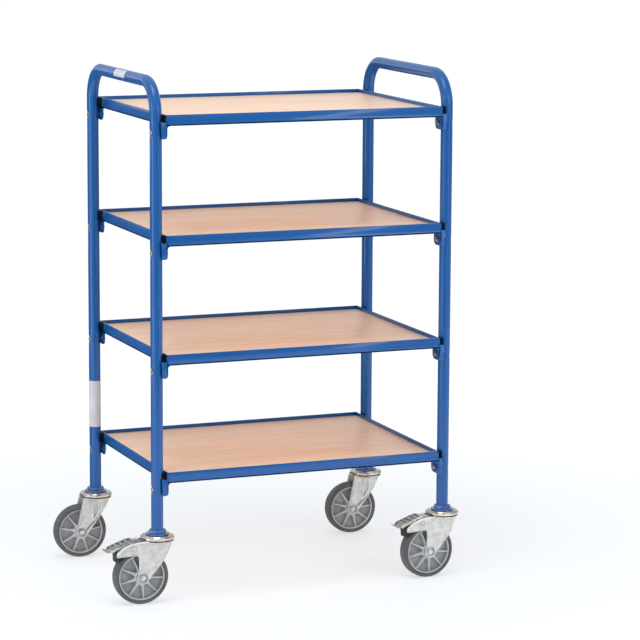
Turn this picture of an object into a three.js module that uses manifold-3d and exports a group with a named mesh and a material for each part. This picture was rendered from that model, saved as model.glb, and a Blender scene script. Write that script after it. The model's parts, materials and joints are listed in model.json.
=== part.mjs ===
// Auxiliary trolley: two bent tube side frames carry four steel angle shelves with wooden boards,
// on four swivel casters, of which the front pair has foot brakes.
// Millimetres, +Z up. X runs along the long side, the front is at -Y, and the floor is at Z = 0.
import * as THREE from 'three';
import { mergeVertices } from 'three/addons/utils/BufferGeometryUtils.js';
import Module from 'manifold-3d';

const wasm = await Module();
wasm.setup();

// Driving sizes of the whole trolley
const overallHeight = 1174.5;
const legSpacingX = 695;
const legSpacingY = 460;
const shelfCount = 4;
const lowestRimTop = 297;
const handleRise = 82.5;

// Fits
const seatGap = 0.3;
const slideGap = 0.5;
const cutOverrun = 1;
const joinOverlap = 1;

// Side frames: tube, foot disc with its weld nut, and the pressed seats of the shelf bolts
const tubeDiameter = 27;
const tubeWall = 2;
const bendRadius = 70;
const footDiameter = 52;
const footThickness = 4;
const footWeldReach = 10.5;
const footWeldHeight = 9;
const footWeldWaistShare = 0.3;
const weldNutDiameter = 21;
const weldNutHeight = 10;
const seatDepth = 3.4;
const seatWall = 2;

// Shelf frames: steel angle rim with the board inside it
const angleHeight = 24;
const angleLeg = 22;
const angleThickness = 3;
const boardThickness = 12.5;

// Corner brackets of the shelf frames
const bracketStandOff = 4.5;
const bracketFrontGap = 2;
const bracketDrop = 29;
const bracketReach = 18;
const bracketCornerRadius = 8;
const bracketFillet = 7;
const earEdge = 3;
const earSetDown = 1;
const notchRadius = 8;
const notchFloor = 6;
const notchOffset = 1;
const notchAngles = [-150, 0];
const bossDiameter = 22;
const bossCrown = 16;
const bossFloor = 3;

// Shelf bolts with their nuts
const shelfBoltDiameter = 8;
const shelfBoltDrop = 15.5;
const shelfBoltHead = 13;
const shelfBoltHeadHeight = 4;
const shelfNutAcross = 13;
const shelfNutHeight = 6.5;
const shelfBoltEnd = 3;

// Casters: radii about the swivel axis, widths along the axle
const wheelDiameter = 125;
const casterHeadroom = 30;
const casterTrail = 40;
const topPlateRadius = 38;
const topPlateFlat = 27;
const topPlateThickness = 3.3;
const topPlateDish = 4.5;
const topPlateLip = 2.5;
const topPlateEdge = 2;
const rivetRadius = 12;
const rivetFlareRadius = 17;
const rivetFlareHeight = 2.7;
const rivetBore = 6.3;
const crownHeight = 11.6;
const crownRadius = 37;
const crownTopRadius = 25;
const crownBaseRadius = 24;
const crownRimHeight = 3.5;
const mountBoltDiameter = 12;
const mountBoltHead = 19;
const mountBoltHeadHeight = 7.5;
const mountBoltEnd = 2.5;

// Forks: plates beside the wheel. At the crown their edges are counted from the swivel axis. Elsewhere a
// place has its angle round the axle, in degrees from the front up and over, and its distance out from the
// tread.
const forkInside = 39;
const forkPlate = 3;
const forkRibHeight = 1.5;
const axleEyeRadius = 14;
const forkEndAngles = [190, 315];
const forkTopBack = 35;
const forkTopFront = 30.5;
const forkWaist = { angle: 39.9, out: -2.5 };
const ribTopBack = 14;
const ribTopFront = 0.5;
const ribFoot = { angle: 29.9, out: -31.4 };

// Arms that carry the brake pedal, on the forks of the front casters
const armCrest = [
  { angle: 120.3, out: 16.8 }, { angle: 108, out: 16.9 }, { angle: 92.8, out: 18.6 },
];
const armTipTop = { angle: 135.2, out: 20.6 };
const armTipBase = { angle: 139.4, out: 15.2 };
const armRoot = { angle: 100.9, out: -9.5 };
const armThroat = { angle: 96.7, out: -19.7 };

// Wheels
const tyreWidth = 32;
const tyreDepth = 9.2;
const tyreShoulder = 5;
const rimWidth = 27;
const rimRing = 4.5;
const hubWidth = 35;
const hubRadius = 17;
const webThickness = 6;
const spokeCount = 9;
const spokeRoot = 8.6;
const spokeTip = 2.8;
const spokeWidth = 22;
const sleeveRadius = 8;
const axleDiameter = 10;
const axleHeadAcross = 17;
const axleHeadHeight = 6;
const axleNutHeight = 8;
const axleEnd = 2;

// Brake pedals, with their places as on the forks
const pedalPivot = { angle: 106.3, out: 8.9 };
const pedalLine = [
  { angle: 92, out: 21.5 }, { angle: 107.5, out: 24 }, { angle: 119.9, out: 25.7 },
  { angle: 134.4, out: 33.3 }, { angle: 140.7, out: 37 }, { angle: 142, out: 42.9 },
];
const pedalWidth = 34;
const pedalPlate = 2.5;
const pedalPinDiameter = 6;
const pedalPinHead = 10;
const pedalPinHeadHeight = 2.5;
const pedalRidgeShares = [0.06, 0.36, 0.66, 0.92];
const pedalRidgeHeight = 3.2;
const pedalRidgeWidth = 5;
const pedalCheekAngles = [200, 340];
const pedalCheekDrop = 9;
const pedalCheekLength = 30;
const shoeWidth = 26;
const shoeAngles = [130.3, 148.5];
const shoeLift = 8;

// Swivel angles at rest, in degrees: a positive angle turns the wheel towards the front
const swivelAngles = { front_left: -2, front_right: 3, back_left: -2.5, back_right: -3 };

// Facets round each kind of piece
const tubeSides = 16;
const boreSides = 8;
const bendSteps = 5;
const holeSides = 6;
const seatSides = 8;
const discSides = 16;
const casterSides = 16;
const tyreSides = 28;
const rimSides = 18;
const arcSteps = 2;
const hexSides = 6;

// Sizes that follow from the ones above
const tubeRadius = tubeDiameter / 2;
const halfX = legSpacingX / 2;
const halfY = legSpacingY / 2;
const casterHeight = wheelDiameter + casterHeadroom;
const footBase = casterHeight + seatGap;
const footTop = footBase + footThickness;
const barHeight = overallHeight - tubeRadius;
const rimEndX = tubeRadius + bracketStandOff;
const rimFrontY = tubeRadius + bracketFrontGap + angleThickness;
const shelfLength = legSpacingX - 2 * rimEndX;
const shelfWidth = legSpacingY + 2 * rimFrontY;
const rimInsideX = shelfLength - 2 * angleThickness;
const rimInsideY = shelfWidth - 2 * angleThickness;
const wheelRadius = wheelDiameter / 2;
const forkOutside = forkInside + 2 * forkPlate;
const shelfPitch = (overallHeight - handleRise - lowestRimTop) / (shelfCount - 1);
const shelfTops = Array.from({ length: shelfCount }, (_, level) => lowestRimTop + level * shelfPitch);
const boltFall = angleHeight + shelfBoltDrop;
const axle = [-casterTrail, wheelRadius];
const fromAxle = ({ angle, out }) => {
  const turn = THREE.MathUtils.degToRad(angle);
  const reach = wheelRadius + out;
  return [axle[0] + reach * Math.cos(turn), axle[1] + reach * Math.sin(turn)];
};
const pedalReach = -fromAxle(pedalLine.at(-1))[0];
const footprintShift = (pedalReach - topPlateRadius) / 2;

// Materials, in the colours of the finished surfaces
const finishes = {
  paint: { color: 0x1f5fa8, roughness: 0.35, metalness: 0.1 },
  board: { color: 0xe3bd94, roughness: 0.5, metalness: 0 },
  zinc: { color: 0xc4c8c8, roughness: 0.35, metalness: 0.9 },
  steel: { color: 0xa8abad, roughness: 0.4, metalness: 0.9 },
  tyre: { color: 0x5c5d5f, roughness: 0.85, metalness: 0 },
  rim: { color: 0x8d8f91, roughness: 0.55, metalness: 0 },
  shoe: { color: 0x2a2b2c, roughness: 0.8, metalness: 0 },
};

// Solids

function solidOf(geometry) {
  const bare = geometry.clone();
  bare.deleteAttribute('normal');
  bare.deleteAttribute('uv');
  const merged = mergeVertices(bare);
  const corners = merged.index.array;
  const faces = [];
  for (let i = 0; i < corners.length; i += 3) {
    const [a, b, c] = [corners[i], corners[i + 1], corners[i + 2]];
    if (a !== b && b !== c && c !== a) faces.push(a, b, c);
  }
  const vertProperties = new Float32Array(merged.attributes.position.array);
  const make = (triVerts) =>
    new wasm.Manifold(new wasm.Mesh({ numProp: 3, vertProperties, triVerts: new Uint32Array(triVerts) }));
  const solid = make(faces);
  return solid.volume() > 0 ? solid : make(faces.reverse());
}

function geometryOf(solid) {
  const mesh = solid.getMesh();
  const geometry = new THREE.BufferGeometry();
  geometry.setAttribute('position', new THREE.BufferAttribute(mesh.vertProperties, 3));
  geometry.setIndex(new THREE.BufferAttribute(mesh.triVerts, 1));
  geometry.computeVertexNormals();
  return geometry;
}

const join = (...solids) => solids.reduce((whole, piece) => whole.add(piece));
const cut = (body, ...tools) => tools.reduce((rest, tool) => rest.subtract(tool), body);

// A block between two corners
function block(low, high) {
  const size = high.map((value, axis) => value - low[axis]);
  const middle = high.map((value, axis) => (value + low[axis]) / 2);
  return solidOf(new THREE.BoxGeometry(...size).translate(...middle));
}

// A round or many-sided bar along one axis, from one place on it to another
function bar(axis, radius, from, to, centre = [0, 0, 0], sides = casterSides) {
  const geometry = new THREE.CylinderGeometry(radius, radius, Math.abs(to - from), sides);
  geometry.rotateY(Math.PI / sides);
  if (axis === 'x') geometry.rotateZ(-Math.PI / 2);
  if (axis === 'z') geometry.rotateX(Math.PI / 2);
  const place = [...centre];
  place['xyz'.indexOf(axis)] += (from + to) / 2;
  return solidOf(geometry.translate(...place));
}

// The corner radius of a many-sided hole whose flat sides clear a round of the given radius
const openTo = (radius, sides) => radius / Math.cos(Math.PI / sides);

// A bar to cut a hole with
function hole(axis, radius, from, to, centre, sides = holeSides) {
  return bar(axis, openTo(radius, sides), from, to, centre, sides);
}

// A turned piece about the Z axis from its closed outline of [radius, height] points
function turned(outline, sides = casterSides) {
  const points = [...outline, outline[0]].map(([radius, height]) => new THREE.Vector2(radius, height));
  return solidOf(new THREE.LatheGeometry(points, sides).rotateX(Math.PI / 2));
}

// A flat plate with its outline in X and Z, between two places along Y
function plateAcross(outline, fromY, toY) {
  const shape = new THREE.Shape(outline.map(([x, z]) => new THREE.Vector2(x, z)));
  const geometry = new THREE.ExtrudeGeometry(shape, { depth: Math.abs(toY - fromY), bevelEnabled: false });
  geometry.rotateX(Math.PI / 2);
  return solidOf(geometry.translate(0, Math.max(fromY, toY), 0));
}

// A flat plate with its outline in Y and Z, between two places along X
function plateAlong(outline, fromX, toX) {
  const flat = plateAcross(outline, fromX, toX);
  return flat.rotate([0, 0, -90]).scale([1, -1, 1]);
}

// Points on an arc about a centre, from one angle to another in degrees
function arc([x, z], radius, from, to, steps = arcSteps) {
  return Array.from({ length: steps + 1 }, (_, i) => {
    const angle = THREE.MathUtils.degToRad(from + ((to - from) * i) / steps);
    return [x + radius * Math.cos(angle), z + radius * Math.sin(angle)];
  });
}

const hexRadius = (across) => across / Math.sqrt(3);

// Side frames

// The hoop's centre line, whose stations fall on the ends and the turns of its two bends
class HoopPath extends THREE.Curve {
  constructor() {
    super();
    const turn = (i) => (Math.PI / 2) * (i / bendSteps);
    const steps = Array.from({ length: bendSteps + 1 }, (_, i) => turn(i));
    const near = [halfY - bendRadius, barHeight - bendRadius];
    this.stations = [
      [-halfY, footTop, 0],
      ...steps.map((a) => [-near[0] - bendRadius * Math.cos(a), near[1] + bendRadius * Math.sin(a), a]),
      ...steps.map((a) =>
        [near[0] + bendRadius * Math.sin(a), near[1] + bendRadius * Math.cos(a), a + Math.PI / 2]),
      [halfY, footTop, Math.PI],
    ];
  }

  station(share) {
    return this.stations[Math.round(share * (this.stations.length - 1))];
  }

  getPointAt(share) {
    const [y, z] = this.station(share);
    return new THREE.Vector3(0, y, z);
  }

  getTangentAt(share) {
    const angle = this.station(share)[2];
    return new THREE.Vector3(0, Math.sin(angle), Math.cos(angle));
  }
}

function ring(radius, sides) {
  return arc([0, 0], radius, 0, 360, sides).slice(0, sides).map(([x, y]) => new THREE.Vector2(x, y));
}

function hoop(hollow) {
  const path = new HoopPath();
  const section = new THREE.Shape(ring(tubeRadius, tubeSides));
  if (hollow) section.holes.push(new THREE.Path(ring(tubeRadius - tubeWall, boreSides)));
  const steps = path.stations.length - 1;
  return solidOf(new THREE.ExtrudeGeometry(section, { steps, extrudePath: path, bevelEnabled: false }));
}

// A welded foot: disc, hollow weld bead round the tube, and the nut for the caster's bolt inside the tube
function foot(y) {
  const bore = openTo(mountBoltDiameter / 2 + seatGap, boreSides);
  const inside = tubeRadius - tubeWall / 2;
  const rim = footDiameter / 2;
  return join(
    turned([[bore, footBase], [rim, footBase], [rim, footTop], [bore, footTop]], discSides),
    turned([
      [inside, footTop - joinOverlap],
      [tubeRadius + footWeldReach, footTop - joinOverlap],
      [tubeRadius + footWeldReach * footWeldWaistShare, footTop + footWeldHeight * footWeldWaistShare],
      [tubeRadius, footTop + footWeldHeight],
      [inside, footTop + footWeldHeight],
    ], tubeSides),
    turned([[bore, footBase], [weldNutDiameter / 2, footBase], [weldNutDiameter / 2, footTop + weldNutHeight],
      [bore, footTop + weldNutHeight]], boreSides),
  ).translate([0, y, 0]);
}

// The frame is worked out for the left end, whose outer side faces -X
function sideFrame() {
  const holeRadius = shelfBoltDiameter / 2 + seatGap;
  const seatRadius = shelfBoltHead / 2 + slideGap;
  const seatFace = -(tubeRadius - seatDepth);
  const cups = [];
  const tools = [];
  for (const top of shelfTops) {
    for (const y of [-halfY, halfY]) {
      const centre = [0, y, top - boltFall];
      cups.push(bar('x', seatRadius + seatWall, -tubeRadius, seatFace + seatWall, centre, seatSides));
      tools.push(hole('x', seatRadius, -tubeDiameter, seatFace, centre, seatSides));
      tools.push(hole('x', holeRadius, -tubeDiameter, tubeDiameter, centre));
    }
  }
  const pressed = join(...cups).intersect(hoop(false));
  return cut(join(hoop(true), pressed, foot(-halfY), foot(halfY)), ...tools);
}

// Shelf frames

// One corner bracket, for the front left corner, about the leg's axis and the rim's lower edge.
// Its ear stands in front of the tube, in line with the front of the rim, and its web, beside the tube,
// has a pressed boss that seats on the tube.
function cornerBracket() {
  const earRight = rimEndX + angleThickness;
  const round = bracketCornerRadius;
  const notchX = (earEdge + rimEndX) / 2 + notchOffset;
  const notch = arc([notchX, notchFloor + notchRadius], notchRadius, ...notchAngles, arcSteps + 1);
  const ear = plateAcross([
    [earEdge, notch[0][1]],
    ...arc([earEdge + round / 2, -bracketDrop + round / 2], round / 2, 180, 270),
    ...arc([earRight - round, -bracketDrop + round], round, 270, 360),
    ...arc([earRight + bracketFillet, -bracketFillet], bracketFillet, 180, 90),
    [earRight + bracketFillet, angleThickness],
    [earRight, angleHeight - earSetDown],
    [rimEndX, angleHeight - earSetDown],
    ...notch.reverse(),
  ], -rimFrontY, -rimFrontY + angleThickness);
  const web = plateAlong([
    [-rimFrontY, -bracketDrop + round],
    ...arc([-rimFrontY + round, -bracketDrop + round], round, 180, 270),
    ...arc([bracketReach - round, -bracketDrop + round], round, 270, 360),
    ...arc([bracketReach + bracketFillet, -bracketFillet], bracketFillet, 180, 90),
    [bracketReach + bracketFillet, angleThickness],
    [-rimFrontY, angleThickness],
  ], rimEndX, earRight);
  const seat = tubeRadius + seatGap;
  const boltPlace = [0, 0, -shelfBoltDrop];
  const bossEnd = rimEndX + seatGap;
  const boss = solidOf(new THREE.CylinderGeometry(bossCrown / 2, bossDiameter / 2, bossEnd - seat, seatSides)
    .rotateY(Math.PI / seatSides).rotateZ(Math.PI / 2).translate((seat + bossEnd) / 2, 0, -shelfBoltDrop));
  const dishRadius = hexRadius(shelfNutAcross) + slideGap;
  const dish = hole('x', dishRadius, seat + bossFloor, earRight + cutOverrun, boltPlace, seatSides);
  const boltHole = hole('x', shelfBoltDiameter / 2 + seatGap, 0, 2 * earRight, boltPlace);
  return cut(join(ear, web, boss), dish, boltHole);
}

function shelfFrame() {
  const [x, y] = [shelfLength / 2, shelfWidth / 2];
  const [insideX, insideY] = [rimInsideX / 2, rimInsideY / 2];
  const open = [x - angleLeg, y - angleLeg];
  const rim = cut(
    block([-x, -y, 0], [x, y, angleHeight]),
    block([-insideX, -insideY, angleThickness], [insideX, insideY, angleHeight + cutOverrun]),
    block([-open[0], -open[1], -cutOverrun], [...open, angleThickness + cutOverrun]),
  );
  const corner = cornerBracket().translate([-halfX, -halfY, 0]);
  const corners = [[1, 1], [-1, 1], [1, -1], [-1, -1]].map(([a, b]) => corner.scale([a, b, 1]));
  return join(rim, ...corners).translate([0, 0, -angleHeight]);
}

function shelfBoard() {
  const [x, y] = [rimInsideX / 2 - seatGap, rimInsideY / 2 - seatGap];
  const base = angleThickness + seatGap - angleHeight;
  return block([-x, -y, base], [x, y, base + boardThickness]);
}

// Fasteners

// A shelf bolt for a left leg, about the point where it crosses the leg's axis: low head in the pressed
// seat outside, nut in the bracket's dish inside
function shelfBolt() {
  const headFace = -(tubeRadius - seatDepth) - seatGap;
  const nutFace = tubeRadius + bossFloor + 2 * seatGap;
  const nutEnd = nutFace + shelfNutHeight;
  const inHead = shelfBoltHeadHeight / 2;
  return join(
    bar('x', shelfBoltHead / 2, headFace - shelfBoltHeadHeight, headFace, [0, 0, 0], seatSides),
    bar('x', shelfBoltDiameter / 2, headFace - inHead, nutEnd + shelfBoltEnd, [0, 0, 0], holeSides),
    bar('x', hexRadius(shelfNutAcross), nutFace, nutEnd, [0, 0, 0], hexSides),
  );
}

// The bolt that holds a caster: hexagon head under the hollow rivet, thread up into the foot's nut
function casterBolt() {
  const seat = rivetBase() - seatGap;
  return join(
    bar('z', hexRadius(mountBoltHead), seat - mountBoltHeadHeight, seat, [0, 0, 0], hexSides),
    bar('z', mountBoltDiameter / 2, seat - mountBoltHeadHeight / 2, footTop + weldNutHeight + mountBoltEnd,
      [0, 0, 0], boreSides),
  );
}

// Casters, each about its own swivel axis with the wheel trailing towards -X

const plateUnderside = () => casterHeight - topPlateThickness;
const crownTop = () => plateUnderside() - slideGap;
const crownBase = () => crownTop() - crownHeight;
const rivetBase = () => crownBase() - slideGap - rivetFlareHeight;

// Top plate with its turned-down edge, and the hollow rivet that holds the fork's crown
function casterHead() {
  const lipTop = casterHeight - topPlateDish;
  const lipInside = topPlateRadius - topPlateEdge;
  return turned([
    [rivetBore, casterHeight],
    [rivetBore, rivetBase()],
    [rivetFlareRadius, rivetBase()],
    [rivetFlareRadius, rivetBase() + rivetFlareHeight],
    [rivetRadius, rivetBase() + rivetFlareHeight],
    [rivetRadius, plateUnderside()],
    [topPlateFlat - topPlateEdge, plateUnderside()],
    [lipInside, lipTop - topPlateLip],
    [topPlateRadius, lipTop - topPlateLip],
    [topPlateRadius, lipTop],
    [topPlateFlat, casterHeight],
  ]);
}

function forkCrown() {
  const [top, base] = [crownTop(), crownBase()];
  const lipInside = topPlateRadius - topPlateEdge;
  const rimTop = casterHeight - topPlateDish - topPlateLip - slideGap;
  return turned([
    [rivetRadius + slideGap, top],
    [rivetRadius + slideGap, base],
    [crownBaseRadius, base],
    [crownRadius, rimTop - crownRimHeight],
    [crownRadius, rimTop],
    [lipInside - topPlateEdge, rimTop],
    [crownTopRadius, top],
  ]);
}

// The round end of a fork plate about the axle, from its back edge to its front edge
const forkEnd = () => arc(axle, axleEyeRadius, ...forkEndAngles, 2 * arcSteps);

// Outline of a plain fork plate, tapering from the crown to the round end at the axle
function plainOutline() {
  const top = crownBase() + forkPlate;
  return [[-forkTopBack, top], ...forkEnd(), fromAxle(forkWaist), [forkTopFront, top]];
}

// Outline of a braked fork plate, whose arm reaches back over the wheel
function armOutline() {
  const top = crownBase() + forkPlate;
  return [
    fromAxle(armTipTop),
    fromAxle(armTipBase),
    fromAxle(armRoot),
    fromAxle(armThroat),
    ...forkEnd(),
    fromAxle(forkWaist),
    [forkTopFront, top],
    [-forkTopBack, top],
    ...armCrest.map(fromAxle).reverse(),
  ];
}

function fork(braked) {
  const [inner, outer] = [forkInside / 2, forkOutside / 2];
  const outline = braked ? armOutline() : plainOutline();
  const rib = [[-ribTopBack, crownBase()], fromAxle(ribFoot), [ribTopFront, crownBase()]];
  const plates = [plateAcross(outline, -outer, -inner), plateAcross(outline, inner, outer)];
  const ribs = [plateAcross(rib, -outer - forkRibHeight, -outer + joinOverlap),
    plateAcross(rib, outer - joinOverlap, outer + forkRibHeight)];
  const holeAt = ([x, z], radius) => hole('y', radius + seatGap, -forkOutside, forkOutside, [x, 0, z]);
  const body = join(forkCrown(), ...plates, ...(braked ? [] : ribs));
  const holes = [holeAt(axle, axleDiameter / 2)];
  if (braked) holes.push(holeAt(fromAxle(pedalPivot), pedalPinDiameter / 2));
  return cut(body, ...holes);
}

// Wheels, about their own axle along Y

function wheelRim() {
  const outer = wheelRadius - tyreDepth - seatGap;
  const inner = outer - rimRing;
  const bore = sleeveRadius + seatGap;
  const [hub, web, ring, spoke] = [hubWidth, webThickness, rimWidth, spokeWidth].map((width) => width / 2);
  const disc = turned([
    [bore, hub], [bore, -hub], [hubRadius, -hub], [hubRadius, -web], [inner, -web], [inner, -ring],
    [outer, -ring], [outer, ring], [inner, ring], [inner, web], [hubRadius, web], [hubRadius, hub],
  ], rimSides).rotate([90, 0, 0]);
  const [root, tip] = [hubRadius - joinOverlap, inner + joinOverlap];
  const [rootSide, tipSide] = [spokeRoot / 2, spokeTip / 2];
  const taper = [[root, -rootSide], [tip, -tipSide], [tip, tipSide], [root, rootSide]];
  const level = plateAcross(taper, -spoke, spoke);
  const spokes = Array.from({ length: spokeCount }, (_, i) => level.rotate([0, (i * 360) / spokeCount, 0]));
  return join(disc, ...spokes);
}

function tyre() {
  const half = tyreWidth / 2;
  const bore = (wheelRadius - tyreDepth) / Math.cos(Math.PI / tyreSides);
  const shoulder = wheelRadius - tyreShoulder;
  const crest = half - tyreShoulder;
  const back = [[bore, -half], [shoulder, -half], [wheelRadius, -crest]];
  const front = back.map(([radius, place]) => [radius, -place]).reverse();
  return turned([...back, ...front], tyreSides).rotate([90, 0, 0]);
}

function hubSleeve() {
  const half = forkInside / 2 - seatGap;
  const bore = openTo(axleDiameter / 2 + seatGap, boreSides);
  return turned([[bore, half], [bore, -half], [sleeveRadius, -half], [sleeveRadius, half]], boreSides)
    .rotate([90, 0, 0]);
}

function axleBolt() {
  const face = forkOutside / 2 + seatGap;
  const nutEnd = face + axleNutHeight;
  return join(
    bar('y', axleDiameter / 2, -face - axleHeadHeight, nutEnd + axleEnd, [0, 0, 0], boreSides),
    bar('y', hexRadius(axleHeadAcross), -face - axleHeadHeight, -face, [0, 0, 0], hexSides),
    bar('y', hexRadius(axleHeadAcross), face, nutEnd, [0, 0, 0], hexSides),
  );
}

// Brakes, about the caster's swivel axis

// The pedal's side view is its top line made thick, with raised bars across both stretches of the tread
function brakePedal() {
  const half = pedalWidth / 2;
  const line = pedalLine.map(fromAxle);
  const under = line.map(([x, z]) => [x, z - pedalPlate]);
  const plate = plateAcross([...line, ...under.reverse()], -half, half);
  const tread = line.slice(1, 4);
  const ridges = pedalRidgeShares.map((share) => {
    const along = share * (tread.length - 1);
    const [from, to] = tread.slice(Math.floor(along));
    const x = from[0] + (to[0] - from[0]) * (along % 1);
    const z = from[1] + (to[1] - from[1]) * (along % 1);
    const [across, low, high] = [pedalRidgeWidth / 2, z - pedalPlate / 2, z + pedalRidgeHeight];
    return plateAcross([[x - across, low], [x + across, low], [x + across / 2, high], [x - across / 2, high]],
      -half + pedalRidgeWidth, half - pedalRidgeWidth);
  });
  const [pivotX, pivotZ] = fromAxle(pedalPivot);
  const cheek = [
    [pivotX - pedalCheekLength / 2, pivotZ + pedalCheekDrop],
    ...arc([pivotX, pivotZ], pedalCheekDrop, ...pedalCheekAngles),
    [pivotX + pedalCheekLength / 2, pivotZ + pedalCheekDrop + pedalPlate],
    [pivotX, pivotZ + pedalCheekDrop + 2 * pedalPlate],
  ];
  const cheeks = [plateAcross(cheek, -half, -half + pedalPlate), plateAcross(cheek, half - pedalPlate, half)];
  const pinHole = hole('y', pedalPinDiameter / 2 + seatGap, -forkInside, forkInside, [pivotX, 0, pivotZ]);
  return cut(join(plate, ...ridges, ...cheeks), pinHole);
}

// The shoe hangs under the pedal, with a face curved to the tyre
function brakeShoe() {
  const half = shoeWidth / 2;
  const face = arc(axle, wheelRadius + shoeLift, ...shoeAngles);
  const [high, low] = [pedalLine[2], pedalLine[3]].map(fromAxle);
  const slope = (high[1] - low[1]) / (high[0] - low[0]);
  const topOver = ([x]) => [x, high[1] + (x - high[0]) * slope - pedalPlate - seatGap];
  return plateAcross([topOver(face[0]), topOver(face.at(-1)), ...face.reverse()], -half, half);
}

function pedalPin() {
  const face = forkOutside / 2 + seatGap;
  const end = face + pedalPinHeadHeight;
  return join(
    bar('y', pedalPinDiameter / 2, -end, end, [0, 0, 0], holeSides),
    bar('y', pedalPinHead / 2, -end, -face, [0, 0, 0], holeSides),
    bar('y', pedalPinHead / 2, face, end, [0, 0, 0], holeSides),
  );
}

// The assembly

const trolley = new THREE.Group();
trolley.name = 'auxiliary_trolley';
trolley.position.x = footprintShift;

function place(parent, name, geometry, finish, position = [0, 0, 0]) {
  const mesh = new THREE.Mesh(geometry, new THREE.MeshStandardMaterial(finishes[finish]));
  mesh.name = name;
  mesh.position.set(...position);
  parent.add(mesh);
  return mesh;
}

const sides = { left: -1, right: 1 };
const rows = { front: -1, back: 1 };

const leftFrame = sideFrame();
for (const [side, sign] of Object.entries(sides)) {
  const geometry = geometryOf(leftFrame.scale([-sign, 1, 1]));
  place(trolley, `side_frame_${side}`, geometry, 'paint', [sign * halfX, 0, 0]);
}

const frameGeometry = geometryOf(shelfFrame());
const boardGeometry = geometryOf(shelfBoard());
const leftBolt = shelfBolt();
shelfTops.forEach((top, level) => {
  const number = level + 1;
  place(trolley, `shelf_frame_${number}`, frameGeometry, 'paint', [0, 0, top]);
  place(trolley, `shelf_board_${number}`, boardGeometry, 'board', [0, 0, top]);
  for (const [side, sign] of Object.entries(sides)) {
    const geometry = geometryOf(leftBolt.scale([-sign, 1, 1]));
    for (const [row, way] of Object.entries(rows)) {
      place(trolley, `shelf_bolt_${number}_${row}_${side}`, geometry, 'zinc',
        [sign * halfX, way * halfY, top - boltFall]);
    }
  }
});

const casterPieces = {
  head: geometryOf(casterHead()),
  bolt: geometryOf(casterBolt()),
  plainFork: geometryOf(fork(false)),
  brakedFork: geometryOf(fork(true)),
  rim: geometryOf(wheelRim()),
  tyre: geometryOf(tyre()),
  sleeve: geometryOf(hubSleeve()),
  axleBolt: geometryOf(axleBolt()),
  pedal: geometryOf(brakePedal()),
  shoe: geometryOf(brakeShoe()),
  pin: geometryOf(pedalPin()),
};

for (const [row, way] of Object.entries(rows)) {
  for (const [side, sign] of Object.entries(sides)) {
    const corner = `${row}_${side}`;
    const caster = new THREE.Group();
    caster.position.set(sign * halfX, way * halfY, 0);
    caster.rotation.z = THREE.MathUtils.degToRad(swivelAngles[corner]);
    trolley.add(caster);
    const braked = row === 'front';
    const onAxle = [axle[0], 0, axle[1]];
    place(caster, `caster_head_${corner}`, casterPieces.head, 'zinc');
    place(caster, `caster_bolt_${corner}`, casterPieces.bolt, 'steel');
    place(caster, `caster_fork_${corner}`, braked ? casterPieces.brakedFork : casterPieces.plainFork, 'zinc');
    place(caster, `hub_sleeve_${corner}`, casterPieces.sleeve, 'steel', onAxle);
    place(caster, `axle_bolt_${corner}`, casterPieces.axleBolt, 'zinc', onAxle);
    place(caster, `wheel_rim_${corner}`, casterPieces.rim, 'rim', onAxle);
    place(caster, `tyre_${corner}`, casterPieces.tyre, 'tyre', onAxle);
    if (braked) {
      const [pivotX, pivotZ] = fromAxle(pedalPivot);
      const onPivot = [pivotX, 0, pivotZ];
      place(caster, `brake_pedal_${side}`, casterPieces.pedal, 'zinc');
      place(caster, `brake_shoe_${side}`, casterPieces.shoe, 'shoe');
      place(caster, `pedal_pin_${side}`, casterPieces.pin, 'zinc', onPivot);
    }
  }
}

export default trolley;
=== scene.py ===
"""Auxiliary trolley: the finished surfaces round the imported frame.

Pieces are modelled in millimetres about an origin of their own, and a place matrix puts them into the
frame, which is in metres.
"""
import json
import math

import bmesh
import bpy
from mathutils import Matrix, Vector, noise


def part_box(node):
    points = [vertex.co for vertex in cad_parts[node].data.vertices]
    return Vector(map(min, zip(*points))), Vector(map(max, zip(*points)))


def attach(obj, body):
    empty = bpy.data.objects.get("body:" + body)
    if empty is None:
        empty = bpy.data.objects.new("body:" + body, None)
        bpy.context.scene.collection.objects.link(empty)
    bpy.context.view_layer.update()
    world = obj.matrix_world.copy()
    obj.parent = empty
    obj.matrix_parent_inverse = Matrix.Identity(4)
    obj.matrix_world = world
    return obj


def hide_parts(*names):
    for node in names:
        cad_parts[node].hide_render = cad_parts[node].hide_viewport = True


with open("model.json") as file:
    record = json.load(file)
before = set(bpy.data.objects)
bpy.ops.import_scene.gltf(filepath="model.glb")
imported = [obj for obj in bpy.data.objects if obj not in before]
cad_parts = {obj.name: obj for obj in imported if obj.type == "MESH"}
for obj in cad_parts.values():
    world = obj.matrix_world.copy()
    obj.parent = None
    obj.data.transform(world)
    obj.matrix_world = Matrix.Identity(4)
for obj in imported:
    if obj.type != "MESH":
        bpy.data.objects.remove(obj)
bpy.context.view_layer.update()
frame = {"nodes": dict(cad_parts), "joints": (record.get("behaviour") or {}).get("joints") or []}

MM = 0.001

# Sizes in millimetres

# Side frames
TUBE_RADIUS = 13.5
BEND_RADIUS = 70
SEAT_DEPTH = 3.4
SEAT_FLAT = 7.2
SEAT_EDGE = 10.8
FOOT_RADIUS = 26
FOOT_THICKNESS = 4
WELD_REACH = 6.5
WELD_HEIGHT = 8
WELD_LUMP = 1.3

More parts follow.
